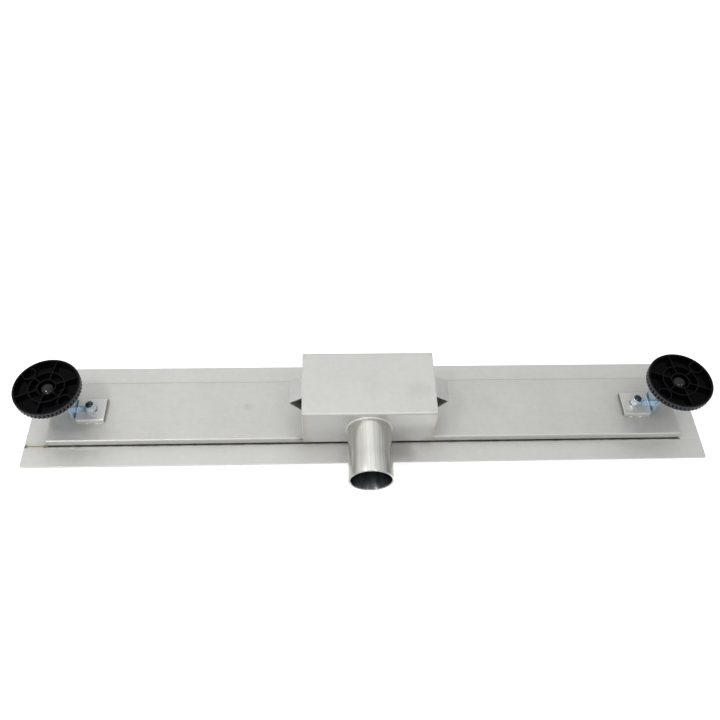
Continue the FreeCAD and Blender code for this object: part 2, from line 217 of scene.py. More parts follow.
# thin settled dust: only on faces turned upwards, in cloudy patches
def buildDust():
    group, entry, leave = newGroup("dust", [
        ("Position", "NodeSocketVector", None),
        ("Scale", "NodeSocketFloat", 60.0),
    ], [("Mask", "NodeSocketFloat")])
    geometry = addNode(group, "ShaderNodeNewGeometry")
    up = addNode(group, "ShaderNodeSeparateXYZ", {0: geometry.outputs["Normal"]})
    cloud = noiseNode(group, entry.outputs["Position"], entry.outputs["Scale"], 4.0)
    patches = rangeNode(group, cloud, 0.45, 0.75, 0.0, 1.0)
    facing = rangeNode(group, up.outputs[2], 0.3, 1.0, 0.0, 1.0)
    group.links.new(mathNode(group, "MULTIPLY", patches, facing), leave.inputs["Mask"])
    return group


# how far inside Radius a point lies from Centre, measured only along the axes that Axes leaves in and
# with both halves of the object folded together: 1 inside, 0 outside
def buildWithin():
    group, entry, leave = newGroup("within", [
        ("Position", "NodeSocketVector", None),
        ("Centre", "NodeSocketVector", (0.0, 0.0, 0.0)),
        ("Axes", "NodeSocketVector", (1.0, 1.0, 0.0)),
        ("Radius", "NodeSocketFloat", 0.01),
        ("Fade", "NodeSocketFloat", 0.0004),
    ], [("Mask", "NodeSocketFloat")])
    folded = vectorNode(group, "ABSOLUTE", entry.outputs["Position"])
    offset = vectorNode(group, "SUBTRACT", folded, entry.outputs["Centre"])
    distance = lengthNode(group, vectorNode(group, "MULTIPLY", offset, entry.outputs["Axes"]))
    depth = mathNode(group, "SUBTRACT", entry.outputs["Radius"], distance)
    share = mathNode(group, "DIVIDE", depth, entry.outputs["Fade"], clamp=True)
    group.links.new(share, leave.inputs["Mask"])
    return group


# faces that look back towards the middle of the object along X: 1 there, 0 on all others
def buildInward():
    group, entry, leave = newGroup("inward", [
        ("Position", "NodeSocketVector", None),
    ], [("Mask", "NodeSocketFloat")])
    geometry = addNode(group, "ShaderNodeNewGeometry")
    product = vectorNode(group, "MULTIPLY", entry.outputs["Position"], geometry.outputs["True Normal"])
    along = addNode(group, "ShaderNodeSeparateXYZ", {0: product}).outputs[0]
    group.links.new(rangeNode(group, along, -0.01, -0.03, 0.0, 1.0), leave.inputs["Mask"])
    return group


groups = {
    "mottle": buildMottle(),
    "grain": buildGrain(),
    "edge": buildEdge(),
    "tint": buildTint(),
    "dust": buildDust(),
    "within": buildWithin(),
    "inward": buildInward(),
}
print("shader groups built")


# Materials

def useGroup(tree, name, inputs):
    return addNode(tree, "ShaderNodeGroup", inputs, node_tree=groups[name])


def startMaterial(name, fixed):
    material = bpy.data.materials.new(name)
    material.use_nodes = True
    tree = material.node_tree
    shader = tree.nodes["Principled BSDF"]
    for key, value in fixed.items():
        shader.inputs[key].default_value = value
    position = addNode(tree, "ShaderNodeTexCoord").outputs["Object"]
    return material, tree, shader, position


def mixColor(tree, mask, first, second):
    return addNode(tree, "ShaderNodeMix", {0: mask, 6: first, 7: second}, data_type="RGBA").outputs[2]


def bumpNode(tree, height, strength, distance, normal=None):
    inputs = {"Height": height, "Strength": strength, "Distance": distance}
    if normal is not None:
        inputs["Normal"] = normal
    return addNode(tree, "ShaderNodeBump", inputs).outputs[0]


# lays one colour over another at each mark of a list
def markedColor(tree, position, marks, color, markColor):
    for spot in marks:
        inputs = dict(spot["place"], Position=position)
        mask = useGroup(tree, "tint", inputs).outputs["Mask"]
        color = mixColor(tree, mathNode(tree, "MULTIPLY", mask, spot["strength"]), color, markColor)
    return color


# the edge colour serves the rolling lines and the painted edge highlights; the brown stain colour also
# paints shade
steel = {
    "light": (0.605, 0.60, 0.57, 1.0),
    "dark": (0.53, 0.525, 0.497, 1.0),
    "edge": (0.90, 0.90, 0.88, 1.0),
    "straw": (0.50, 0.45, 0.33, 1.0),
    "stainAndShade": (0.025, 0.021, 0.011, 1.0),
    "metallic": 0.55,
    "roughLow": 0.38,
    "roughHigh": 0.52,
    "edgeRadius": 0.0012,
    "edgeShare": 0.75,
    "mottleScale": 14.0,
    "lineSpan": (0.35, 0.65),
    "lineShare": 0.07,
    "cloudShare": 0.6,
    "wornSpan": (0.3, 1.2),
    "grainBump": 0.025,
    "grainDepth": 0.0004,
    "waveScale": 7.0,
    "waveBump": 0.12,
    "waveDepth": 0.01,
}


# satin stainless sheet: cloudy colour and gloss, rolling lines, painted highlights on the rounded edges,
# straw tints and brown stains at the listed marks, some of the stain marks being painted shade, and on the
# lugs painted shade on the inner sides
def steelMaterial(name, stretch, tints=(), stainsAndShade=(), change=None):
    look = dict(steel, **(change or {}))
    material, tree, shader, position = startMaterial(name, {"Metallic": look["metallic"]})
    cloud = useGroup(tree, "mottle", {"Position": position, "Scale": look["mottleScale"]}).outputs["Mask"]
    lines = useGroup(tree, "grain", {"Position": position, "Stretch": stretch}).outputs["Lines"]
    edge = useGroup(tree, "edge", {"Radius": look["edgeRadius"]})
    color = mixColor(tree, cloud, look["dark"], look["light"])
    lineMask = rangeNode(tree, lines, *look["lineSpan"], 0.0, look["lineShare"])
    color = mixColor(tree, lineMask, color, look["edge"])
    color = markedColor(tree, position, tints, color, look["straw"])
    color = markedColor(tree, position, stainsAndShade, color, look["stainAndShade"])
    # painted shade: faces turned back towards the middle along X are darkened towards the inner colour
    if "inner" in look:
        inward = useGroup(tree, "inward", {"Position": position}).outputs["Mask"]
        color = mixColor(tree, mathNode(tree, "MULTIPLY", inward, look["innerShadeShare"]), color, look["inner"])
    # painted highlights: the rounded edges are lightened towards the edge colour
    edgeHighlightMask = mathNode(tree, "MULTIPLY", edge.outputs["Mask"], look["edgeShare"])
    color = mixColor(tree, edgeHighlightMask, color, look["edge"])
    tree.links.new(color, shader.inputs["Base Color"])
    wearAndSheen = mathNode(tree, "ADD", mathNode(tree, "MULTIPLY", cloud, look["cloudShare"]), lines)
    rough = rangeNode(tree, wearAndSheen, *look["wornSpan"], look["roughLow"], look["roughHigh"])
    tree.links.new(rough, shader.inputs["Roughness"])
    wave = noiseNode(tree, position, look["waveScale"], 1.0)
    normal = bumpNode(tree, wave, look["waveBump"], look["waveDepth"], edge.outputs["Rounded Normal"])
    normal = bumpNode(tree, lines, look["grainBump"], look["grainDepth"], normal)
    tree.links.new(normal, shader.inputs["Normal"])
    return material


pipe = {
    "light": (0.745, 0.735, 0.69, 1.0),
    "dark": (0.63, 0.62, 0.58, 1.0),
    "mark": (0.52, 0.51, 0.48, 1.0),
    "edge": (0.92, 0.92, 0.90, 1.0),
    "straw": (0.60, 0.52, 0.34, 1.0),
    # the bore colour is painted shade inside the tube; the edge colour is a painted highlight on the
    # mouth's edges
    "bore": (0.115, 0.13, 0.165, 1.0),
    "boreShadeRadius": 0.0249,
    "edgeRadius": 0.0010,
    "edgeShare": 0.8,
    "streaks": (260.0, 9.0, 260.0),
    "streakSpan": (0.38, 0.56),
    "streakBump": 0.10,
    "streakDepth": 0.0006,
    "scratches": (1500.0, 40.0, 1500.0),
    "scratchSpan": (0.62, 0.70),
    "scratchShare": 0.5,
    "scratchBump": 0.06,
    "scratchDepth": 0.0003,
    "roughLow": 0.16,
    "roughHigh": 0.28,
}


# drawn and polished tube: streaks and scratches along its axis, a straw tint at its root, painted
# highlights on its rounded edges, and a dark bluish bore that is painted shade inside the tube
def pipeMaterial(rootTint):
    look = pipe
    material, tree, shader, position = startMaterial("pipeSteel", {"Metallic": 1.0})
    inputs = {"Position": position, "Stretch": look["streaks"]}
    streaks = useGroup(tree, "grain", inputs).outputs["Lines"]
    inputs = {"Position": position, "Stretch": look["scratches"]}
    scratches = useGroup(tree, "grain", inputs).outputs["Lines"]
    edge = useGroup(tree, "edge", {"Radius": look["edgeRadius"]})
    streaked = rangeNode(tree, streaks, *look["streakSpan"], 0.0, 1.0)
    color = mixColor(tree, streaked, look["dark"], look["light"])
    scratched = rangeNode(tree, scratches, *look["scratchSpan"], 0.0, look["scratchShare"])
    color = mixColor(tree, scratched, color, look["mark"])
    color = markedColor(tree, position, [rootTint], color, look["straw"])
    # painted highlights: the rounded edges are lightened towards the edge colour
    edgeHighlightMask = mathNode(tree, "MULTIPLY", edge.outputs["Mask"], look["edgeShare"])
    color = mixColor(tree, edgeHighlightMask, color, look["edge"])
    # painted shade: the bore is darkened towards the bore colour
    axis = {"Centre": (0.0, 0.0, pipeZ), "Axes": (1.0, 0.0, 1.0)}
    inputs = dict(axis, Position=position, Radius=look["boreShadeRadius"])
    bore = useGroup(tree, "within", inputs).outputs["Mask"]
    tree.links.new(mixColor(tree, bore, color, look["bore"]), shader.inputs["Base Color"])
    rough = rangeNode(tree, streaks, *noiseSpan, look["roughHigh"], look["roughLow"])
    tree.links.new(rough, shader.inputs["Roughness"])
    rounded = edge.outputs["Rounded Normal"]
    normal = bumpNode(tree, streaks, look["streakBump"], look["streakDepth"], rounded)
    normal = bumpNode(tree, scratches, look["scratchBump"], look["scratchDepth"], normal)
    tree.links.new(normal, shader.inputs["Normal"])
    return material


zinc = {
    "light": (0.72, 0.83, 0.91, 1.0),
    "dark": (0.36, 0.49, 0.61, 1.0),
    "warm": (0.76, 0.77, 0.74, 1.0),
    "edge": (0.95, 0.98, 1.0, 1.0),
    "cloudScale": 90.0,
    "warmScale": 40.0,
    "warmSpan": (0.65, 1.0),
    "warmShare": 0.35,
    "roughLow": 0.16,
    "roughHigh": 0.30,
    "edgeRadius": 0.0006,
    "edgeShare": 0.6,
    "crystalScale": 1400.0,
    "crystalBump": 0.06,
    "crystalDepth": 0.0002,
}


# bright bluish zinc plating: soft patches of blue and straw passivation over a crystalline fine grain,
# painted highlights on the edges, and on the clamp bolts a near-black body as painted shade round a lighter
# end
def zincMaterial(name, change=None):
    look = dict(zinc, **(change or {}))
    material, tree, shader, position = startMaterial(name, {"Metallic": 1.0})
    inputs = {"Position": position, "Scale": look["cloudScale"]}
    cloud = useGroup(tree, "mottle", inputs).outputs["Mask"]
    inputs = {"Position": position, "Scale": look["warmScale"]}
    warmCloud = useGroup(tree, "mottle", inputs).outputs["Mask"]
    edge = useGroup(tree, "edge", {"Radius": look["edgeRadius"]})
    color = mixColor(tree, cloud, look["dark"], look["light"])
    warm = rangeNode(tree, warmCloud, *look["warmSpan"], 0.0, look["warmShare"])
    color = mixColor(tree, warm, color, look["warm"])
    # painted highlights: the rounded edges are lightened towards the edge colour
    edgeHighlightMask = mathNode(tree, "MULTIPLY", edge.outputs["Mask"], look["edgeShare"])
    color = mixColor(tree, edgeHighlightMask, color, look["edge"])
    # on the clamp bolts: the lighter end inside the near-black painted shade
    if "endX" in look:
        inputs = {"Position": position, "Centre": (look["endX"], 0.0, 0.0), "Radius": look["endRadius"]}
        end = useGroup(tree, "within", inputs).outputs["Mask"]
        color = mixColor(tree, end, color, look["end"])
    tree.links.new(color, shader.inputs["Base Color"])
    rough = rangeNode(tree, cloud, 0.0, 1.0, look["roughLow"], look["roughHigh"])
    tree.links.new(rough, shader.inputs["Roughness"])
    inputs = {"Vector": position, "Scale": look["crystalScale"]}
    crystal = addNode(tree, "ShaderNodeTexVoronoi", inputs).outputs[0]
    rounded = edge.outputs["Rounded Normal"]
    normal = bumpNode(tree, crystal, look["crystalBump"], look["crystalDepth"], rounded)
    tree.links.new(normal, shader.inputs["Normal"])
    return material


blackPlastic = {
    # the rim grey is wear and painted sheen on the teeth, the near black left in the notches is painted
    # shade, and the grey on the edges is dust and painted edge highlights
    "color": (0.0015, 0.0015, 0.002, 1.0),
    "ribTop": (0.006, 0.0055, 0.006, 1.0),
    "dustAndEdgeSheen": (0.012, 0.012, 0.013, 1.0),
    "rim": (0.038, 0.042, 0.048, 1.0),
    "rimRadius": 0.0393,
    "domeRadius": 0.0099,
    "ribHeight": 0.0034,
    "cloudScale": 55.0,
    "dustScale": 120.0,
    "dustShare": 0.35,
    "edgeRadius": 0.0006,
    "edgeShare": 0.8,
    "wearAndSheenLeast": 0.55,
    "rimCoat": 0.8,
    "domeCoat": 0.62,
    "roughLow": 0.12,
    "roughHigh": 0.24,
    "flowScale": 320.0,
    "flowTwist": 0.6,
    "flowBump": 0.08,
    "flowDepth": 0.0006,
}


# glossy moulded plastic: near black with flow marks, a little lighter on the ribs' faces, grey dust and
# painted highlights on the edges, grey on the teeth of the rim as wear and painted sheen with its notches
# left black as painted shade, and a glossier rim and dome
def blackPlasticMaterial():
    look = blackPlastic
    material, tree, shader, position = startMaterial("blackPlastic", {"Specular IOR Level": 0.04})
    inputs = {"Position": position, "Scale": look["cloudScale"]}
    cloud = useGroup(tree, "mottle", inputs).outputs["Mask"]
    edge = useGroup(tree, "edge", {"Radius": look["edgeRadius"]})
    dust = useGroup(tree, "dust", {"Position": position, "Scale": look["dustScale"]}).outputs["Mask"]
    axis = {"Position": position, "Centre": (middleX("foot_disc_right"), 0.0, 0.0)}
    inside = useGroup(tree, "within", dict(axis, Radius=look["rimRadius"])).outputs["Mask"]
    dome = useGroup(tree, "within", dict(axis, Radius=look["domeRadius"])).outputs["Mask"]
    lowFace = {"Position": position, "Axes": (0.0, 0.0, 1.0), "Radius": look["ribHeight"]}
    low = useGroup(tree, "within", lowFace).outputs["Mask"]
    color = mixColor(tree, low, look["color"], look["ribTop"])
    # painted highlights, with dust: the edges are lightened towards a grey
    edgeHighlightMask = mathNode(tree, "MULTIPLY", edge.outputs["Mask"], look["edgeShare"])
    color = mixColor(tree, edgeHighlightMask, color, look["dustAndEdgeSheen"])
    dusty = mathNode(tree, "MULTIPLY", dust, look["dustShare"])
    color = mixColor(tree, dusty, color, look["dustAndEdgeSheen"])
    # painted sheen and wear: the teeth turn grey, the notches stay near black as painted shade
    teeth = mathNode(tree, "SUBTRACT", 1.0, inside)
    wearAndSheenSpread = rangeNode(tree, cloud, 0.0, 1.0, look["wearAndSheenLeast"], 1.0)
    wearAndSheen = mathNode(tree, "MULTIPLY", teeth, wearAndSheenSpread)
    color = mixColor(tree, wearAndSheen, color, look["rim"])
    tree.links.new(color, shader.inputs["Base Color"])
    rimCoat = mathNode(tree, "MULTIPLY", teeth, look["rimCoat"])
    domeCoat = mathNode(tree, "MULTIPLY", dome, look["domeCoat"])
    tree.links.new(mathNode(tree, "ADD", rimCoat, domeCoat), shader.inputs["Coat Weight"])
    rough = rangeNode(tree, cloud, 0.0, 1.0, look["roughLow"], look["roughHigh"])
    tree.links.new(rough, shader.inputs["Roughness"])
    flow = noiseNode(tree, position, look["flowScale"], distortion=look["flowTwist"])
    rounded = edge.outputs["Rounded Normal"]
    normal = bumpNode(tree, flow, look["flowBump"], look["flowDepth"], rounded)
    tree.links.new(normal, shader.inputs["Normal"])
    return material


moulded = {
    "cloudScale": 70.0,
    "edgeRadius": 0.0006,
    "roughSpread": 0.12,
    "grainScale": 900.0,
    "grainBump": 0.08,
    "grainDepth": 0.0003,
}


# plain moulded plastic and rubber, for the hidden trap parts and the nylon rings
def mouldedMaterial(name, color, shade, rough):
    look = moulded
    material, tree, shader, position = startMaterial(name, {})
    inputs = {"Position": position, "Scale": look["cloudScale"]}
    cloud = useGroup(tree, "mottle", inputs).outputs["Mask"]
    edge = useGroup(tree, "edge", {"Radius": look["edgeRadius"]})
    tree.links.new(mixColor(tree, cloud, shade, color), shader.inputs["Base Color"])
    spread = rangeNode(tree, cloud, 0.0, 1.0, rough, rough + look["roughSpread"])
    tree.links.new(spread, shader.inputs["Roughness"])
    grain = noiseNode(tree, position, look["grainScale"])
    rounded = edge.outputs["Rounded Normal"]
    normal = bumpNode(tree, grain, look["grainBump"], look["grainDepth"], rounded)
    tree.links.new(normal, shader.inputs["Normal"])
    return material


# a heat mark, a stain or a painted shade: a box of half size reach about its centre, fading out over a
# distance, in metres
def mark(centre, reach, fade, strength):
    return {"place": {"Centre": centre, "Reach": reach, "Fade": fade}, "strength": strength}


trapX, trapY = trapHigh.x, -trapLow.y
trayX, wallY = trayHigh.x, trayHigh.y
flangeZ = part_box("flange_front")[0].z
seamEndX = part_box("flange_end_right")[1].x
lugLow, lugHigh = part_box("anchor_lug_right")
lugY, lugZ = (lugLow.y + lugHigh.y) / 2, (lugLow.z + lugHigh.z) / 2
lapZ = 0.064
trayFloorZ = 0.0603
saddleWeld = {"x": 0.3475, "spread": 0.013, "y": 0.017}


def saddleMark(x, spread, y):
    centre = (x * (saddleWeld["x"] + spread * saddleWeld["spread"]), y * saddleWeld["y"], trayFloorZ)
    return mark(centre, (0.002, 0.002, 0.001), 0.004, 0.2)


# straw tints: on the flange's seam, the trap box's upright edges and lap, the pipe's root and the saddles
seamTint = mark((trayX + 0.0135, -wallY, flangeZ), (0.0135, 0.0010, 0.004), 0.008, 0.45)
boxTints = [mark((x * trapX, y * trapY, 0.03), (0.0008, 0.0015, 0.03), 0.006, 0.4)
            for x in (-1, 1) for y in (-1, 1)]
lapTints = [mark((x * 0.077, -trapY, lapZ), (0.003, 0.002, 0.001), 0.007, 0.6) for x in (-1, 1)]
outletTint = mark((0.0, -trapY, pipeZ), (0.0265, 0.002, 0.0265), 0.008, 0.12)
frontSaddleTints = [saddleMark(x, spread, -1) for x in (-1, 1) for spread in (-1, 1)]
leftSaddleTints = [saddleMark(-1, spread, y) for spread in (-1, 1) for y in (-1, 1)]

# brown stains at the ends of the flange's seam and at the lap, a brown stain with painted shade in the
# joint at the seam's root, painted shade inside the lugs, and smudges
seamStains = [mark((x, -wallY, flangeZ), (0.0012, 0.0008, 0.0005), 0.0016, 0.9)
              for x in (trayX + 0.0015, seamEndX - 0.002)]
# painted shade: a dark line in the joint of the tray's wall and the flange, partly a brown stain
rootStainAndShade = mark((0.0, -wallY, flangeZ - 0.0006), (trayX, 0.0007, 0.0009), 0.0014, 0.98)
lapStain = mark((trapX + 0.002, -trapY, 0.0605), (0.0015, 0.001, 0.001), 0.006, 0.55)
# painted shade on the trap box's ends inside the lug loops
lugHalf = (0.001, lugHigh.y - lugY - 0.002, lugHigh.z - lugZ - 0.004)
lugPaintedShade = [mark((x * trapX, lugY, lugZ), lugHalf, 0.004, 0.35) for x in (-1, 1)]
traySmudge = mark((0.152, 0.004, trayFloorZ), (0.0025, 0.0015, 0.002), 0.005, 0.10)
flangeSmudge = mark((-0.040, -0.058, flangeZ), (0.010, 0.004, 0.002), 0.012, 0.25)
boxSmudges = [mark((-0.061, -0.011, 0.0), (0.008, 0.004, 0.002), 0.010, 0.06),
              mark((-0.004, -0.004, 0.0), (0.003, 0.009, 0.002), 0.012, 0.04)]

alongX = (30.0, 900.0, 900.0)
alongY = (900.0, 30.0, 900.0)
flangeLook = {"light": (0.64, 0.635, 0.605, 1.0), "dark": (0.575, 0.57, 0.543, 1.0)}
boxLook = {"light": (0.67, 0.665, 0.635, 1.0), "dark": (0.605, 0.60, 0.572, 1.0)}
# the lugs: painted shade on the inner sides and painted highlights on the edges
lugLook = {
    "light": (0.68, 0.675, 0.65, 1.0),
    "dark": (0.61, 0.605, 0.58, 1.0),
    "inner": (0.08, 0.085, 0.055, 1.0),
    "innerShadeShare": 0.55,
    "edge": (0.97, 0.97, 0.95, 1.0),
    "edgeShare": 1.0,
    "edgeRadius": 0.0015,
    "roughLow": 0.32,
}
# the saddles: a lighter copy of the steel, painted light that lifts the shade near the feet
saddleLiftedLook = {"light": (0.68, 0.675, 0.65, 1.0), "dark": (0.62, 0.615, 0.59, 1.0)}
beadLook = {"light": (0.86, 0.86, 0.84, 1.0), "dark": (0.70, 0.70, 0.68, 1.0), "roughLow": 0.28}
seamLook = {
    "light": (0.34, 0.31, 0.23, 1.0),
    "dark": (0.12, 0.10, 0.06, 1.0),
    "edge": (0.40, 0.37, 0.30, 1.0),
    "mottleScale": 160.0,
}
polished = {
    "light": (0.76, 0.755, 0.73, 1.0),
    "dark": (0.68, 0.675, 0.65, 1.0),
    "roughLow": 0.28,
    "roughHigh": 0.40,
    "metallic": 0.9,
    "lineShare": 0.15,
    "grainBump": 0.10,
}
nutLook = {"light": (0.86, 0.90, 0.94, 1.0), "dark": (0.56, 0.65, 0.73, 1.0)}
# the clamp bolts: near-black zinc as painted shade round the lighter end, with painted edge highlights
boltShadeLook = {
    "light": (0.11, 0.13, 0.16, 1.0),
    "dark": (0.05, 0.07, 0.10, 1.0),
    "edge": (0.30, 0.34, 0.38, 1.0),
    "endX": middleX("clamp_bolt_right"),
    "endRadius": 0.0027,
    "end": (0.50, 0.56, 0.62, 1.0),
}
trayTints = frontSaddleTints + lapTints
trayStainsAndShade = [rootStainAndShade, lapStain, traySmudge]
flangeStainsAndShade = seamStains + [rootStainAndShade, flangeSmudge]
trapTints = boxTints + lapTints + [outletTint]
materials = {
    "tray": steelMaterial("traySteel", alongX, trayTints, trayStainsAndShade),
    "flange": steelMaterial("flangeSteel", alongX, [seamTint], flangeStainsAndShade, flangeLook),
    "box": steelMaterial("boxSteel", alongX, trapTints, lugPaintedShade + boxSmudges, boxLook),
    "pipe": pipeMaterial(outletTint),
    "saddle": steelMaterial("saddleSteel", alongX, leftSaddleTints, change=saddleLiftedLook),
    "lug": steelMaterial("lugSteel", alongY, change=lugLook),
    "cover": steelMaterial("coverSteel", alongX, change=polished),
    "bead": steelMaterial("beadSteel", alongX, change=beadLook),
    "seam": steelMaterial("seamSteel", alongX, change=seamLook),
    "zinc": zincMaterial("zincPlate"),
    "zincNut": zincMaterial("zincNut", nutLook),
    "shadedZincBolt": zincMaterial("shadedZincBolt", boltShadeLook),
    "blackPlastic": blackPlasticMaterial(),
    "trapPlastic": mouldedMaterial("trapPlastic", (0.60, 0.60, 0.59, 1.0), (0.50, 0.50, 0.49, 1.0), 0.4),
    "sealRubber": mouldedMaterial("sealRubber", (0.03, 0.03, 0.03, 1.0), (0.02, 0.02, 0.02, 1.0), 0.6),
    "nylon": mouldedMaterial("nylonRing", (0.03, 0.045, 0.07, 1.0), (0.02, 0.03, 0.05, 1.0), 0.4),
}

nodeLooks = {
    "channel_tray": "tray",
    "flange_front": "flange",
    "flange_back": "flange",
    "trap_box": "box",
    "outlet_pipe": "pipe",
    "weir_plate": "box",
    "trap_seal": "sealRubber",
    "trap_insert": "trapPlastic",
    "strainer_cup": "cover",
    "cover": "cover",
}
endLooks = {
    "flange_end": "flange",
    "trap_end": "box",
    "anchor_lug": "lug",
    "saddle": "saddle",
    "foot_bracket": "zinc",
    "clamp_bolt": "shadedZincBolt",
    "lock_nut": "zincNut",
    "foot_stud": "zinc",
    "upper_nut": "zincNut",
    "lower_nut": "zincNut",
    "foot_disc": "blackPlastic",
}
for end, look in endLooks.items():
    for side in sides:
        nodeLooks[end + "_" + side] = look
for name, look in nodeLooks.items():
    nodes[name].data.materials.clear()
    nodes[name].data.materials.append(materials[look])
print("materials on", len(nodeLooks), "nodes")


# Threaded studs and clamp bolts

# the middle row of a rounded edge lies this share of its radius inside both faces
roundShare = 0.3


# a ring of points for each profile row (radius, height) about an upright axis, closed into a surface
def turnedSurface(profile, x, columns, wrapRows=True):
    angle = np.arange(columns) * 2 * math.pi / columns
    rows = np.array(profile)
    radius, height = rows[:, :1], rows[:, 1:]
    grid = np.stack([x + radius * np.cos(angle), radius * np.sin(angle), height + 0 * angle], -1)
    return gridFaces(grid, wrapRows=wrapRows, caps=not wrapRows)


# the thread's wave: the shares of half a pitch that the flat crest and the sloping flank take up, and how
# far above the plain part the first row of the thread lies
thread = {"crest": 0.12, "flank": 0.76, "start": 1e-5}


# a rod whose radius is its crest less the thread depth times a flat-topped wave of height / pitch - angle
# / turn
def threadedRod(look, x, bottom, threadFrom, top):
    turns = (top - threadFrom) / look["pitch"]
    threaded = np.linspace(threadFrom + thread["start"], top, int(turns * look["rowsPerTurn"]))
    height = np.concatenate([[bottom, threadFrom], threaded])
    angle = np.arange(look["columns"]) * 2 * math.pi / look["columns"]
    h, a = np.meshgrid(height, angle, indexing="ij")
    phase = np.abs(2 * ((h / look["pitch"] - a / (2 * math.pi)) % 1.0) - 1)
    wave = np.clip((phase - thread["crest"]) / thread["flank"], 0, 1)
    ramp = np.clip((h - threadFrom) / look["pitch"], 0, 1)
    radius = look["radius"] - look["depth"] * wave * ramp
    ends = np.minimum(top - h, h - bottom)
    radius = np.minimum(radius, look["radius"] - look["chamfer"] + ends)
    grid = np.stack([x + radius * np.cos(a), radius * np.sin(a), h], -1)
    return gridFaces(grid, caps=True)


stud = {
    "radius": 0.005,
    "pitch": 0.0015,
    "depth": 0.00092,
    "chamfer": 0.0011,
    "columns": 48,
    "rowsPerTurn": 9,
    "plainAbove": 0.0102,
}
clampBolt = {
    "radius": 0.00398,
    "pitch": 0.00125,
    "depth": 0.00076,
    "chamfer": 0.0009,
    "columns": 40,
    "rowsPerTurn": 8,
    "head": 0.0068,
    "headHeight": 0.0012,
    "headRound": 0.0006,
    "headInner": 0.001,
    "headColumns": 64,
    "overlap": 0.0002,
}

for side in sides:
    x = middleX("foot_stud_" + side)
    low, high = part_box("foot_stud_" + side)
    surface = threadedRod(stud, x, low.z, low.z + stud["plainAbove"], high.z)
    rod = makePiece("threadedStud_" + side, [surface], materials["zinc"], "foot_" + side)
    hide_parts("foot_stud_" + side)

    x = middleX("clamp_bolt_" + side)
    low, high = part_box("clamp_bolt_" + side)
    seat = high.z - clampBolt["headHeight"]
    shank = threadedRod(clampBolt, x, low.z, low.z + thread["start"], seat + clampBolt["overlap"])
    r, k, inner = clampBolt["head"], clampBolt["headRound"], clampBolt["headInner"]
    eased = (r - roundShare * k, high.z - roundShare * k)
    profile = [(inner, seat), (r, seat), (r, high.z - k), eased, (r - k, high.z), (inner, high.z)]
    surfaces = [shank, turnedSurface(profile, x, clampBolt["headColumns"])]
    bolt = makePiece("clampBolt_" + side, surfaces, materials["shadedZincBolt"], "bracket_" + side)
    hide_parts("clamp_bolt_" + side)
print("studs and bolts threaded")


# Hexagon nuts

levelNut = {
    "flats": 0.017,
    "bore": 0.00505,
    "mouth": 0.0009,
    "mouthShare": 0.7,
    "rise": (0.0, 0.0001, 0.0003, 0.0006, 0.0009, 0.0012),
}
lockNut = {
    "flats": 0.013,
    "hex": 0.0075,
    "bore": 0.00402,
    "collar": 0.0063,
    "lip": 0.0049,
    "lipRound": 0.0004,
    "cup": 0.0047,
    "cupDepth": 0.0011,
    "collarRows": 9,
    "rise": (0.0, 0.0001, 0.0003, 0.0006, 0.0009),
}
nylonRing = {"outer": 0.00472, "inner": 0.0040, "recess": 0.00035, "height": 0.0009, "columns": 64}
hexagon = {"face": 0.475, "slope": math.tan(math.radians(30)), "columns": 144, "edge": 0.00025}
nutAngle = np.arange(hexagon["columns"]) * 2 * math.pi / hexagon["columns"]


# outside radius of a nut at each angle and height: the hexagon's reach with its corners eased, cut by the
# chamfer's cone
def hexReach(angle, flats, rise):
    sector = (angle + math.pi / 6) % (math.pi / 3) - math.pi / 6
    flat = flats / 2 / np.cos(sector)
    eased = np.minimum(flat, flats / math.sqrt(3) - hexagon["edge"])
    return np.minimum(eased, hexagon["face"] * flats + rise / hexagon["slope"])


# the hexagon from low to high, chamfered at both ends: rows of (radius, height)
def hexRows(look, low, high):
    angle = nutAngle + math.pi / 6
    rise = np.array(look["rise"])
    rows = [(hexReach(angle, look["flats"], z), low + z) for z in rise]
    return rows + [(hexReach(angle, look["flats"], z), high - z) for z in rise[::-1]]


# rows of (radius, height) with a radius at each angle, swept round the upright axis at x
def sweptNut(rows, x):
    cos, sin = np.cos(nutAngle), np.sin(nutAngle)
    grid = [np.stack([x + r * cos, r * sin, z + 0 * nutAngle], -1) for r, z in rows]
    return gridFaces(np.stack(grid), wrapRows=True)


def levelNutRows(low, high):
    bore, mouth = levelNut["bore"], levelNut["mouth"]
    opening = bore + levelNut["mouthShare"] * mouth
    rows = [(bore, (low + high) / 2), (bore, low + mouth), (opening, low)]
    return rows + hexRows(levelNut, low, high) + [(opening, high), (bore, high - mouth)]


# the hexagon against the saddle, and below it the collar: a quarter ellipse in to a rolled lip round the
# nylon ring
def lockNutRows(low, high):
    look = lockNut
    start = high - look["hex"]
    cupTop = low + look["cupDepth"]
    rows = [(look["bore"], high), (look["bore"], cupTop), (look["cup"], cupTop)]
    rows += [(look["cup"], low + look["lipRound"]), (look["cup"] + roundShare * look["lipRound"], low)]
    for share in np.linspace(0, 1, look["collarRows"]):
        quarter = share * math.pi / 2
        r = look["lip"] + (look["collar"] - look["lip"]) * math.sin(quarter)
        rows.append((r, low + (start - low) * (1 - math.cos(quarter))))
    return rows + hexRows(look, start, high)


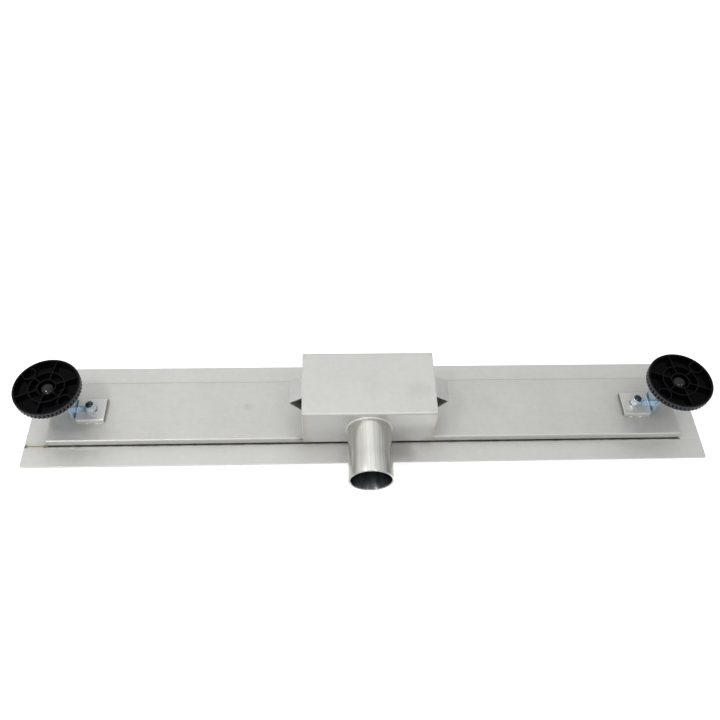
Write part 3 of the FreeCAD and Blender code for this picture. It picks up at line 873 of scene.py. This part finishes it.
for side in sides:
    for level in ("upper", "lower"):
        node = level + "_nut_" + side
        low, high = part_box(node)
        surface = sweptNut(levelNutRows(low.z, high.z), middleX(node))
        nut = makePiece(level + "HexNut_" + side, [surface], materials["zincNut"], node)
        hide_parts(node)
    node = "lock_nut_" + side
    low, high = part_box(node)
    surface = sweptNut(lockNutRows(low.z, high.z), middleX(node))
    nut = makePiece("lockHexNut_" + side, [surface], materials["zincNut"], "bracket_" + side)
    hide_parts(node)
    z = low.z + nylonRing["recess"]
    top = z + nylonRing["height"]
    inner, outer = nylonRing["inner"], nylonRing["outer"]
    profile = [(inner, z), (outer, z), (outer, top), (inner, top)]
    surface = turnedSurface(profile, middleX(node), nylonRing["columns"])
    makePiece("nylonRing_" + side, [surface], materials["nylon"], "bracket_" + side)
print("nuts made")


# Hub domes

# a flat dome that fills the cup under each foot disc: a ball's cap, whose height over its top at a radius
# is ball - sqrt(ball ball - radius radius), closed by a short wall and a flat back
hubDome = {
    "radius": 0.0098,
    "inner": 0.00005,
    "ball": 0.0135,
    "recess": 0.00125,
    "wall": 0.0006,
    "rows": 28,
    "columns": 72,
}
for side in sides:
    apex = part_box("foot_disc_" + side)[0].z + hubDome["recess"]
    reach = np.linspace(hubDome["inner"], hubDome["radius"], hubDome["rows"])
    height = apex + hubDome["ball"] - np.sqrt(hubDome["ball"] ** 2 - reach ** 2)
    back = height[-1] + hubDome["wall"]
    profile = list(zip(reach, height)) + [(reach[-1], back), (reach[0], back)]
    surface = turnedSurface(profile, middleX("foot_disc_" + side), hubDome["columns"])
    makePiece("hubDome_" + side, [surface], materials["blackPlastic"], "foot_" + side)
print("hub domes turned")


# Outlet pipe

outletPipe = {
    "neck": 0.0266,
    "sleeve": 0.0270,
    "bore": 0.0246,
    "sleeveLength": 0.028,
    "flare": 0.014,
    "edge": 0.0004,
    "flareRows": 15,
    "columns": 160,
}


# a profile turned about the pipe's axis: the radius eases from the neck to the sleeve as 3 t t - 2 t t t,
# and the mouth's two edges are rounded
def pipeSurface(root, mouth, axisZ):
    look = outletPipe
    t = np.linspace(0, 1, look["flareRows"])
    easedRadius = look["neck"] + (look["sleeve"] - look["neck"]) * t * t * (3 - 2 * t)
    easedY = mouth + look["sleeveLength"] + look["flare"] * (0.5 - t)
    bore, sleeve, e = look["bore"], look["sleeve"], look["edge"]
    eased = roundShare * e
    rows = [(bore, root), (look["neck"], root)] + list(zip(easedRadius, easedY))
    rows += [(sleeve, mouth + e), (sleeve - eased, mouth + eased), (sleeve - e, mouth)]
    rows += [(bore + e, mouth), (bore + eased, mouth + eased), (bore, mouth + e)]
    rows = np.array(rows)
    angle = np.arange(look["columns"]) * 2 * math.pi / look["columns"]
    radius, y = rows[:, :1], rows[:, 1:]
    grid = np.stack([radius * np.cos(angle), y + 0 * angle, axisZ + radius * np.sin(angle)], -1)
    return gridFaces(grid, wrapRows=True)


surface = pipeSurface(pipeHigh.y, pipeLow.y, pipeZ)
tube = makePiece("outletPipe", [surface], materials["pipe"], "drain")
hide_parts("outlet_pipe")
print("outlet pipe turned")


# Weld beads

bead = {
    "around": 12,
    "ripple": 0.0011,
    "depth": 0.1,
    "step": 0.0003,
    "leastSteps": 8,
    "taper": 0.0012,
    "tip": 0.02,
}


# a bead along a path: an ellipse of width and height across it, swelling a tenth with each ripple and
# tapering at the ends
def beadSurface(path, side, up, width, height, closed=False):
    path = np.array(path)
    lengths = np.concatenate([[0], np.cumsum(np.linalg.norm(np.diff(path, axis=0), axis=1))])
    steps = max(bead["leastSteps"], int(lengths[-1] / bead["step"]))
    s = np.linspace(0, lengths[-1], steps, endpoint=not closed)
    side, up = np.broadcast_to(side, path.shape), np.broadcast_to(up, path.shape)
    middle = np.stack([np.interp(s, lengths, path[:, axis]) for axis in range(3)], -1)
    side = np.stack([np.interp(s, lengths, side[:, axis]) for axis in range(3)], -1)
    up = np.stack([np.interp(s, lengths, up[:, axis]) for axis in range(3)], -1)
    swell = 1 - bead["depth"] * np.abs(np.sin(math.pi * s / bead["ripple"]))
    if not closed:
        ends = np.minimum(s, lengths[-1] - s)
        swell = swell * np.sqrt(np.clip(ends / bead["taper"], bead["tip"], 1))
    angle = np.arange(bead["around"]) * 2 * math.pi / bead["around"]
    across = (width / 2 * swell)[:, None] * np.cos(angle)
    rise = (height * swell)[:, None] * np.sin(angle)
    grid = middle[:, None] + across[..., None] * side[:, None] + rise[..., None] * up[:, None]
    return gridFaces(grid, wrapRows=closed, caps=not closed)


# the pipe's fillet weld: a circle round the pipe on the trap box's face, with the bead's side pointing
# outwards
outletWeld = {"radius": 0.0276, "width": 0.0027, "height": 0.0016, "steps": 361}
angle = np.linspace(0, 2 * math.pi, outletWeld["steps"])
around = np.stack([np.cos(angle), 0 * angle, np.sin(angle)], -1)
circle = outletWeld["radius"] * around + (0, trapLow.y, pipeZ)
surface = beadSurface(circle, around, (0, -1, 0), outletWeld["width"], outletWeld["height"], closed=True)
makePiece("outletWeld", [surface], materials["bead"], "drain")

# the flange's joint that shows, on both faces of the sheet, at the +X end of the front strip
seam = {"width": 0.0015, "height": 0.00020, "rootGap": 0.0015, "tipGap": 0.0004}
endLow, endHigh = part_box("flange_end_right")
surfaces = []
for z, way in ((endLow.z, -1), (endHigh.z, 1)):
    path = [(endLow.x + seam["rootGap"], endLow.y, z), (endHigh.x - seam["tipGap"], endLow.y, z)]
    surfaces.append(beadSurface(path, (0, 1, 0), (0, 0, way), seam["width"], seam["height"]))
makePiece("flangeSeam", surfaces, materials["seam"], "drain")

# the trap box's end plates: a bead on each joint line of the end faces, up both sides and across the bottom
boxSeam = {"inset": 0.00075, "width": 0.0014, "height": 0.00035, "corner": 0.003, "top": 0.0585}
inset, corner = boxSeam["inset"], boxSeam["corner"]
width, height = boxSeam["width"], boxSeam["height"]
surfaces = []
for x, way in ((trapLow.x, -1), (trapHigh.x, 1)):
    for y in (trapLow.y + inset, trapHigh.y - inset):
        path = [(x, y, corner), (x, y, boxSeam["top"])]
        surfaces.append(beadSurface(path, (0, 1, 0), (way, 0, 0), width, height))
    path = [(x, trapLow.y + corner, inset), (x, trapHigh.y - corner, inset)]
    surfaces.append(beadSurface(path, (0, 0, 1), (way, 0, 0), width, height))
makePiece("trapBoxSeams", surfaces, materials["bead"], "drain")

# short tack welds: along the lap of the trap box on the channel's walls, and beside the saddles
lapTack = {
    "length": 0.005,
    "width": 0.0022,
    "height": 0.0008,
    "inset": 0.0012,
    "x": (-0.072, -0.038, 0.038, 0.072),
}
saddleTack = {"length": 0.0028, "width": 0.0034, "height": 0.0012, "x": (0.3402, 0.3521)}
half = lapTack["length"] / 2
surfaces = []
for y, way in ((trapLow.y, -1), (trapHigh.y, 1)):
    inside = y - way * lapTack["inset"]
    for x in lapTack["x"]:
        path = [(x - half, inside, trapHigh.z), (x + half, inside, trapHigh.z)]
        surfaces.append(beadSurface(path, (0, way, 0), (0, 0, 1), lapTack["width"], lapTack["height"]))
makePiece("lapTacks", surfaces, materials["bead"], "drain")
half, width, height = saddleTack["length"] / 2, saddleTack["width"], saddleTack["height"]
surfaces = []
for side, sign in sides.items():
    saddleLow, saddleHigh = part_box("saddle_" + side)
    for y in (saddleLow.y, saddleHigh.y):
        for x in saddleTack["x"]:
            path = [(sign * x - half, y, trayLow.z), (sign * x + half, y, trayLow.z)]
            surfaces.append(beadSurface(path, (0, 1, 0), (0, 0, -1), width, height))
makePiece("saddleTacks", surfaces, materials["bead"], "drain")

# the anchor lugs' welds, one along each leg where it meets the trap box
lugWeld = {"width": 0.0024, "height": 0.0009, "inset": 0.002}
width, height, inset = lugWeld["width"], lugWeld["height"], lugWeld["inset"]
surfaces = []
for side, sign in sides.items():
    lugLow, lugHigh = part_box("anchor_lug_" + side)
    x = sign * trapHigh.x
    for z in (max(lugLow.z, width / 2), lugHigh.z):
        path = [(x, lugLow.y + inset, z), (x, lugHigh.y - inset, z)]
        surfaces.append(beadSurface(path, (0, 0, 1), (sign, 0, 0), width, height))
makePiece("lugWelds", surfaces, materials["bead"], "drain")
print("weld beads laid")


# Camera, floor and light

# the main view: place in metres, turn in degrees, lens and sensor width in millimetres
view = {
    "location": (0.04543, -0.4866, -0.74731),
    "turn": (-145.1234, 1.5414, -178.2912),
    "lens": 36.644,
    "sensor": 36.0,
    "clipEnd": 50.0,
}
camera = bpy.data.objects.new("camera", bpy.data.cameras.new("camera"))
bpy.context.collection.objects.link(camera)
camera.location = view["location"]
camera.rotation_euler = [math.radians(v) for v in view["turn"]]
camera.data.sensor_width = view["sensor"]
camera.data.lens = view["lens"]
camera.data.clip_end = view["clipEnd"]
bpy.context.scene.camera = camera

stageLook = {
    "halfSize": 6.0,
    "floor": 0.0,
    "table": 0.0908,
    "color": (0.80, 0.80, 0.80, 1.0),
    "rough": 0.9,
    "glow": 0.6,
}


# a plane seen only from its front: pale where the camera looks at it, clear from behind
def stagePlane(name, height, faceUp):
    half = stageLook["halfSize"]
    corners = [(-half, -half, height), (half, -half, height), (half, half, height), (-half, half, height)]
    mesh = bpy.data.meshes.new(name)
    mesh.from_pydata(corners, [], [[0, 1, 2, 3] if faceUp else [3, 2, 1, 0]])
    plane = bpy.data.objects.new(name, mesh)
    bpy.context.collection.objects.link(plane)
    material = bpy.data.materials.new(name)
    material.use_nodes = True
    tree = material.node_tree
    shader = tree.nodes["Principled BSDF"]
    shader.inputs["Base Color"].default_value = stageLook["color"]
    shader.inputs["Roughness"].default_value = stageLook["rough"]
    shader.inputs["Emission Color"].default_value = (1.0, 1.0, 1.0, 1.0)
    shader.inputs["Emission Strength"].default_value = stageLook["glow"]
    clear = addNode(tree, "ShaderNodeBsdfTransparent")
    geometry = addNode(tree, "ShaderNodeNewGeometry")
    inputs = {0: geometry.outputs["Backfacing"], 1: shader.outputs[0], 2: clear.outputs[0]}
    mix = addNode(tree, "ShaderNodeMixShader", inputs)
    tree.links.new(mix.outputs[0], tree.nodes["Material Output"].inputs["Surface"])
    mesh.materials.append(material)
    plane.visible_diffuse = False
    plane.visible_glossy = False
    plane.visible_shadow = False
    plane.visible_transmission = False


# a floor for the views from above, and over the drain a table's top for the views from below
stagePlane("floor", stageLook["floor"], True)
stagePlane("table", stageLook["table"], False)

# the world: plain white to the camera, soft even light on rough surfaces, and for reflections a tent that
# brightens straight below and above, dims from one side below and from the front above; each ramp says
# where it starts and ends along an axis, and its level at both
tent = {
    "below": (0.0, -0.9, 0.38, 1.15),
    "above": (0.0, 0.9, 0.0, 0.80),
    "sideways": (-0.45, -0.05, 0.72, 1.0),
    "frontways": (-0.5, 0.3, 0.45, 1.0),
    "glossColor": (0.98, 0.99, 1.0, 1.0),
    "softColor": (0.97, 0.98, 1.0, 1.0),
    "soft": 0.80,
}
world = bpy.data.worlds.new("tent")
bpy.context.scene.world = world
world.use_nodes = True
tree = world.node_tree
tree.nodes.clear()
direction = addNode(tree, "ShaderNodeTexCoord").outputs["Generated"]
parts = addNode(tree, "ShaderNodeSeparateXYZ", {0: direction})
paths = addNode(tree, "ShaderNodeLightPath")
below = rangeNode(tree, parts.outputs[2], *tent["below"])
above = rangeNode(tree, parts.outputs[2], *tent["above"])
sideways = rangeNode(tree, parts.outputs[0], *tent["sideways"])
frontways = rangeNode(tree, parts.outputs[1], *tent["frontways"])
below = mathNode(tree, "MULTIPLY", below, sideways)
above = mathNode(tree, "MULTIPLY", above, frontways)
glossLevel = mathNode(tree, "ADD", below, above)
soft = addNode(tree, "ShaderNodeBackground", {0: tent["softColor"], 1: tent["soft"]})
gloss = addNode(tree, "ShaderNodeBackground", {0: tent["glossColor"], 1: glossLevel})
white = addNode(tree, "ShaderNodeBackground", {0: (1.0, 1.0, 1.0, 1.0), 1: 1.0})
inputs = {0: paths.outputs["Is Glossy Ray"], 1: soft.outputs[0], 2: gloss.outputs[0]}
lit = addNode(tree, "ShaderNodeMixShader", inputs)
inputs = {0: paths.outputs["Is Camera Ray"], 1: lit.outputs[0], 2: white.outputs[0]}
seen = addNode(tree, "ShaderNodeMixShader", inputs)
addNode(tree, "ShaderNodeOutputWorld", {0: seen.outputs[0]})

# square lamps, each turned towards the origin: place and side in metres, power in watts
lamps = {
    "lampUnderLeft": {"at": (0.9, -0.35, -1.6), "size": 0.32, "power": 10.5},
    "lampUnderRight": {"at": (-1.1, -0.3, -1.2), "size": 0.30, "power": 4.0},
    "lampNearLeft": {"at": (0.45, -0.60, -0.95), "size": 0.16, "power": 2.0},
    "lampNearRight": {"at": (-0.35, -0.30, -1.15), "size": 0.12, "power": 1.0},
    "lampAbove": {"at": (-0.8, -0.8, 1.5), "size": 1.0, "power": 9.0},
    "lampBehind": {"at": (0.7, 1.3, 0.9), "size": 0.9, "power": 9.0},
}
for name, look in lamps.items():
    data = bpy.data.lights.new(name, "AREA")
    data.size = look["size"]
    data.energy = look["power"]
    lamp = bpy.data.objects.new(name, data)
    bpy.context.collection.objects.link(lamp)
    lamp.location = look["at"]
    away = -np.array(look["at"])
    tilt = math.acos(away[2] / np.linalg.norm(away)) - math.pi
    lamp.rotation_euler = (tilt, 0.0, math.atan2(away[1], away[0]) - math.pi / 2)

scene = bpy.context.scene
scene.view_settings.view_transform = "Standard"
